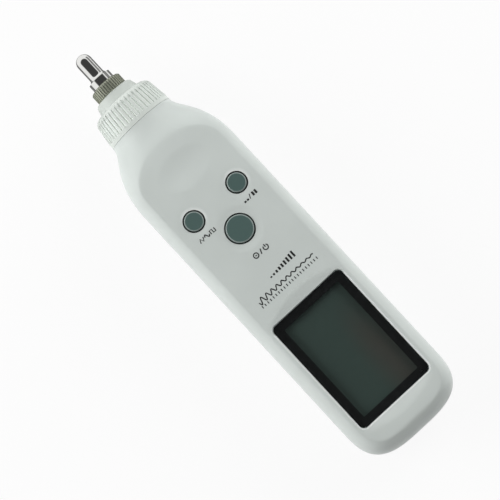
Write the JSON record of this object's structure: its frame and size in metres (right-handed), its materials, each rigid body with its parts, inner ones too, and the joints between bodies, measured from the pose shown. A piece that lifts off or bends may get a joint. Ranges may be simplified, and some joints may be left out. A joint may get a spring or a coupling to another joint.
{
  "type": "handheld vibration meter",
  "caption": "Slim white handheld vibration meter with a screwed probe tip, a ribbed collar, round push buttons and a tall display window.",
  "frame": {"origin": "on the resting plane of the flat back, under the middle of the length and width over all", "axes": "+X across the case to the right seen from the front face with the tip away from the viewer, +Y along the case towards the probe tip, +Z out of the front face"},
  "size_m": [0.0444, 0.183, 0.0312],
  "materials": {
    "case_plastic": "pale grey-white moulded plastic, satin",
    "collar_plastic": "white moulded plastic, satin",
    "button_plastic": "green-grey plastic with a satin top and a paler edge",
    "window_clear": "clear acrylic window, polished",
    "gasket_black": "black adhesive foam frame",
    "lcd_dark": "display with no segments lit, dark grey-green",
    "holder_plastic": "white moulded plastic",
    "zebra_rubber": "layered conductive rubber",
    "board_resin": "green circuit board",
    "chip_resin": "black moulded resin",
    "can_metal": "satin metal can",
    "socket_plastic": "cream plastic",
    "lead_sheath": "black cable sheath",
    "probe_chrome": "polished plated steel",
    "ring_nickel": "knurled satin nickel plate",
    "sensor_steel": "turned stainless steel",
    "piezo_ceramic": "fired piezo ceramic",
    "brass": "turned brass",
    "washer_nylon": "natural nylon",
    "rubber_black": "soft black rubber",
    "cell_jacket": null,
    "spring_steel": "nickel plated spring steel",
    "screw_steel": "zinc plated steel"
  },
  "bodies": {
    "case": {"front_shell": "case_plastic", "rear_shell": "case_plastic", "display_window": "window_clear", "window_gasket": "gasket_black", "lcd_panel": "lcd_dark", "lcd_holder": "holder_plastic", "zebra_strips": "zebra_rubber", "main_board": "board_resin", "controller_chip": "chip_resin", "amplifier_chip": "chip_resin", "capacitors": "can_metal", "sensor_socket": "socket_plastic", "sensor_lead": "lead_sheath", "measure_switch": "chip_resin", "mode_switch": "chip_resin", "range_switch": "chip_resin", "nose_cone": "collar_plastic", "sensor_base": "sensor_steel", "piezo_disc": "piezo_ceramic", "contact_disc": "brass", "seismic_mass": "brass", "preload_bolt": "sensor_steel", "sensor_can": "can_metal", "isolator_rings": "rubber_black", "battery_left": "cell_jacket", "battery_right": "cell_jacket", "front_contacts": "spring_steel", "bridge_contact": "spring_steel", "case_screws": "screw_steel", "board_screws": "screw_steel"},
    "battery_door": {"battery_door": "case_plastic"},
    "measure_button": {"measure_button": "button_plastic"},
    "mode_button": {"mode_button": "button_plastic"},
    "range_button": {"range_button": "button_plastic"},
    "probe_rod": {"probe_rod": "probe_chrome"},
    "knurled_ring": {"knurled_ring": "ring_nickel"},
    "ribbed_collar": {"ribbed_collar": "collar_plastic"},
    "collar_washer": {"collar_washer": "washer_nylon"}
  },
  "joints": [
    {"name": "measure_press", "type": "slide", "parent": "case", "child": "measure_button", "axis": [0, 0, -1], "range_m": [0, 0.0006], "stiffness_N_per_m": 600},
    {"name": "mode_press", "type": "slide", "parent": "case", "child": "mode_button", "axis": [0, 0, -1], "range_m": [0, 0.0006], "stiffness_N_per_m": 600},
    {"name": "range_press", "type": "slide", "parent": "case", "child": "range_button", "axis": [0, 0, -1], "range_m": [0, 0.0006], "stiffness_N_per_m": 600},
    {"name": "door_slide", "type": "slide", "parent": "case", "child": "battery_door", "axis": [0, -1, 0], "range_m": [0, 0.058]},
    {"name": "probe_advance", "type": "slide", "parent": "case", "child": "probe_rod", "axis": [0, 1, 0], "range_m": [0, 0.0056]},
    {"name": "probe_turn", "type": "hinge", "parent": "probe_rod", "child": "knurled_ring", "pos_m": [0, 0.0753, 0.015], "axis": [0, 1, 0], "range_deg": [0, 2520]},
    {"name": "collar_advance", "type": "slide", "parent": "case", "child": "collar_washer", "axis": [0, 1, 0], "range_m": [0, 0.0045]},
    {"name": "collar_turn", "type": "hinge", "parent": "collar_washer", "child": "ribbed_collar", "pos_m": [0, 0.0638, 0.015], "axis": [0, 1, 0], "range_deg": [0, 1080]}
  ],
  "couplings": [
    {"joint": "probe_turn", "follows": "probe_advance", "rad_per_m": 7853.9},
    {"joint": "collar_turn", "follows": "collar_advance", "rad_per_m": 4188.7}
  ]
}
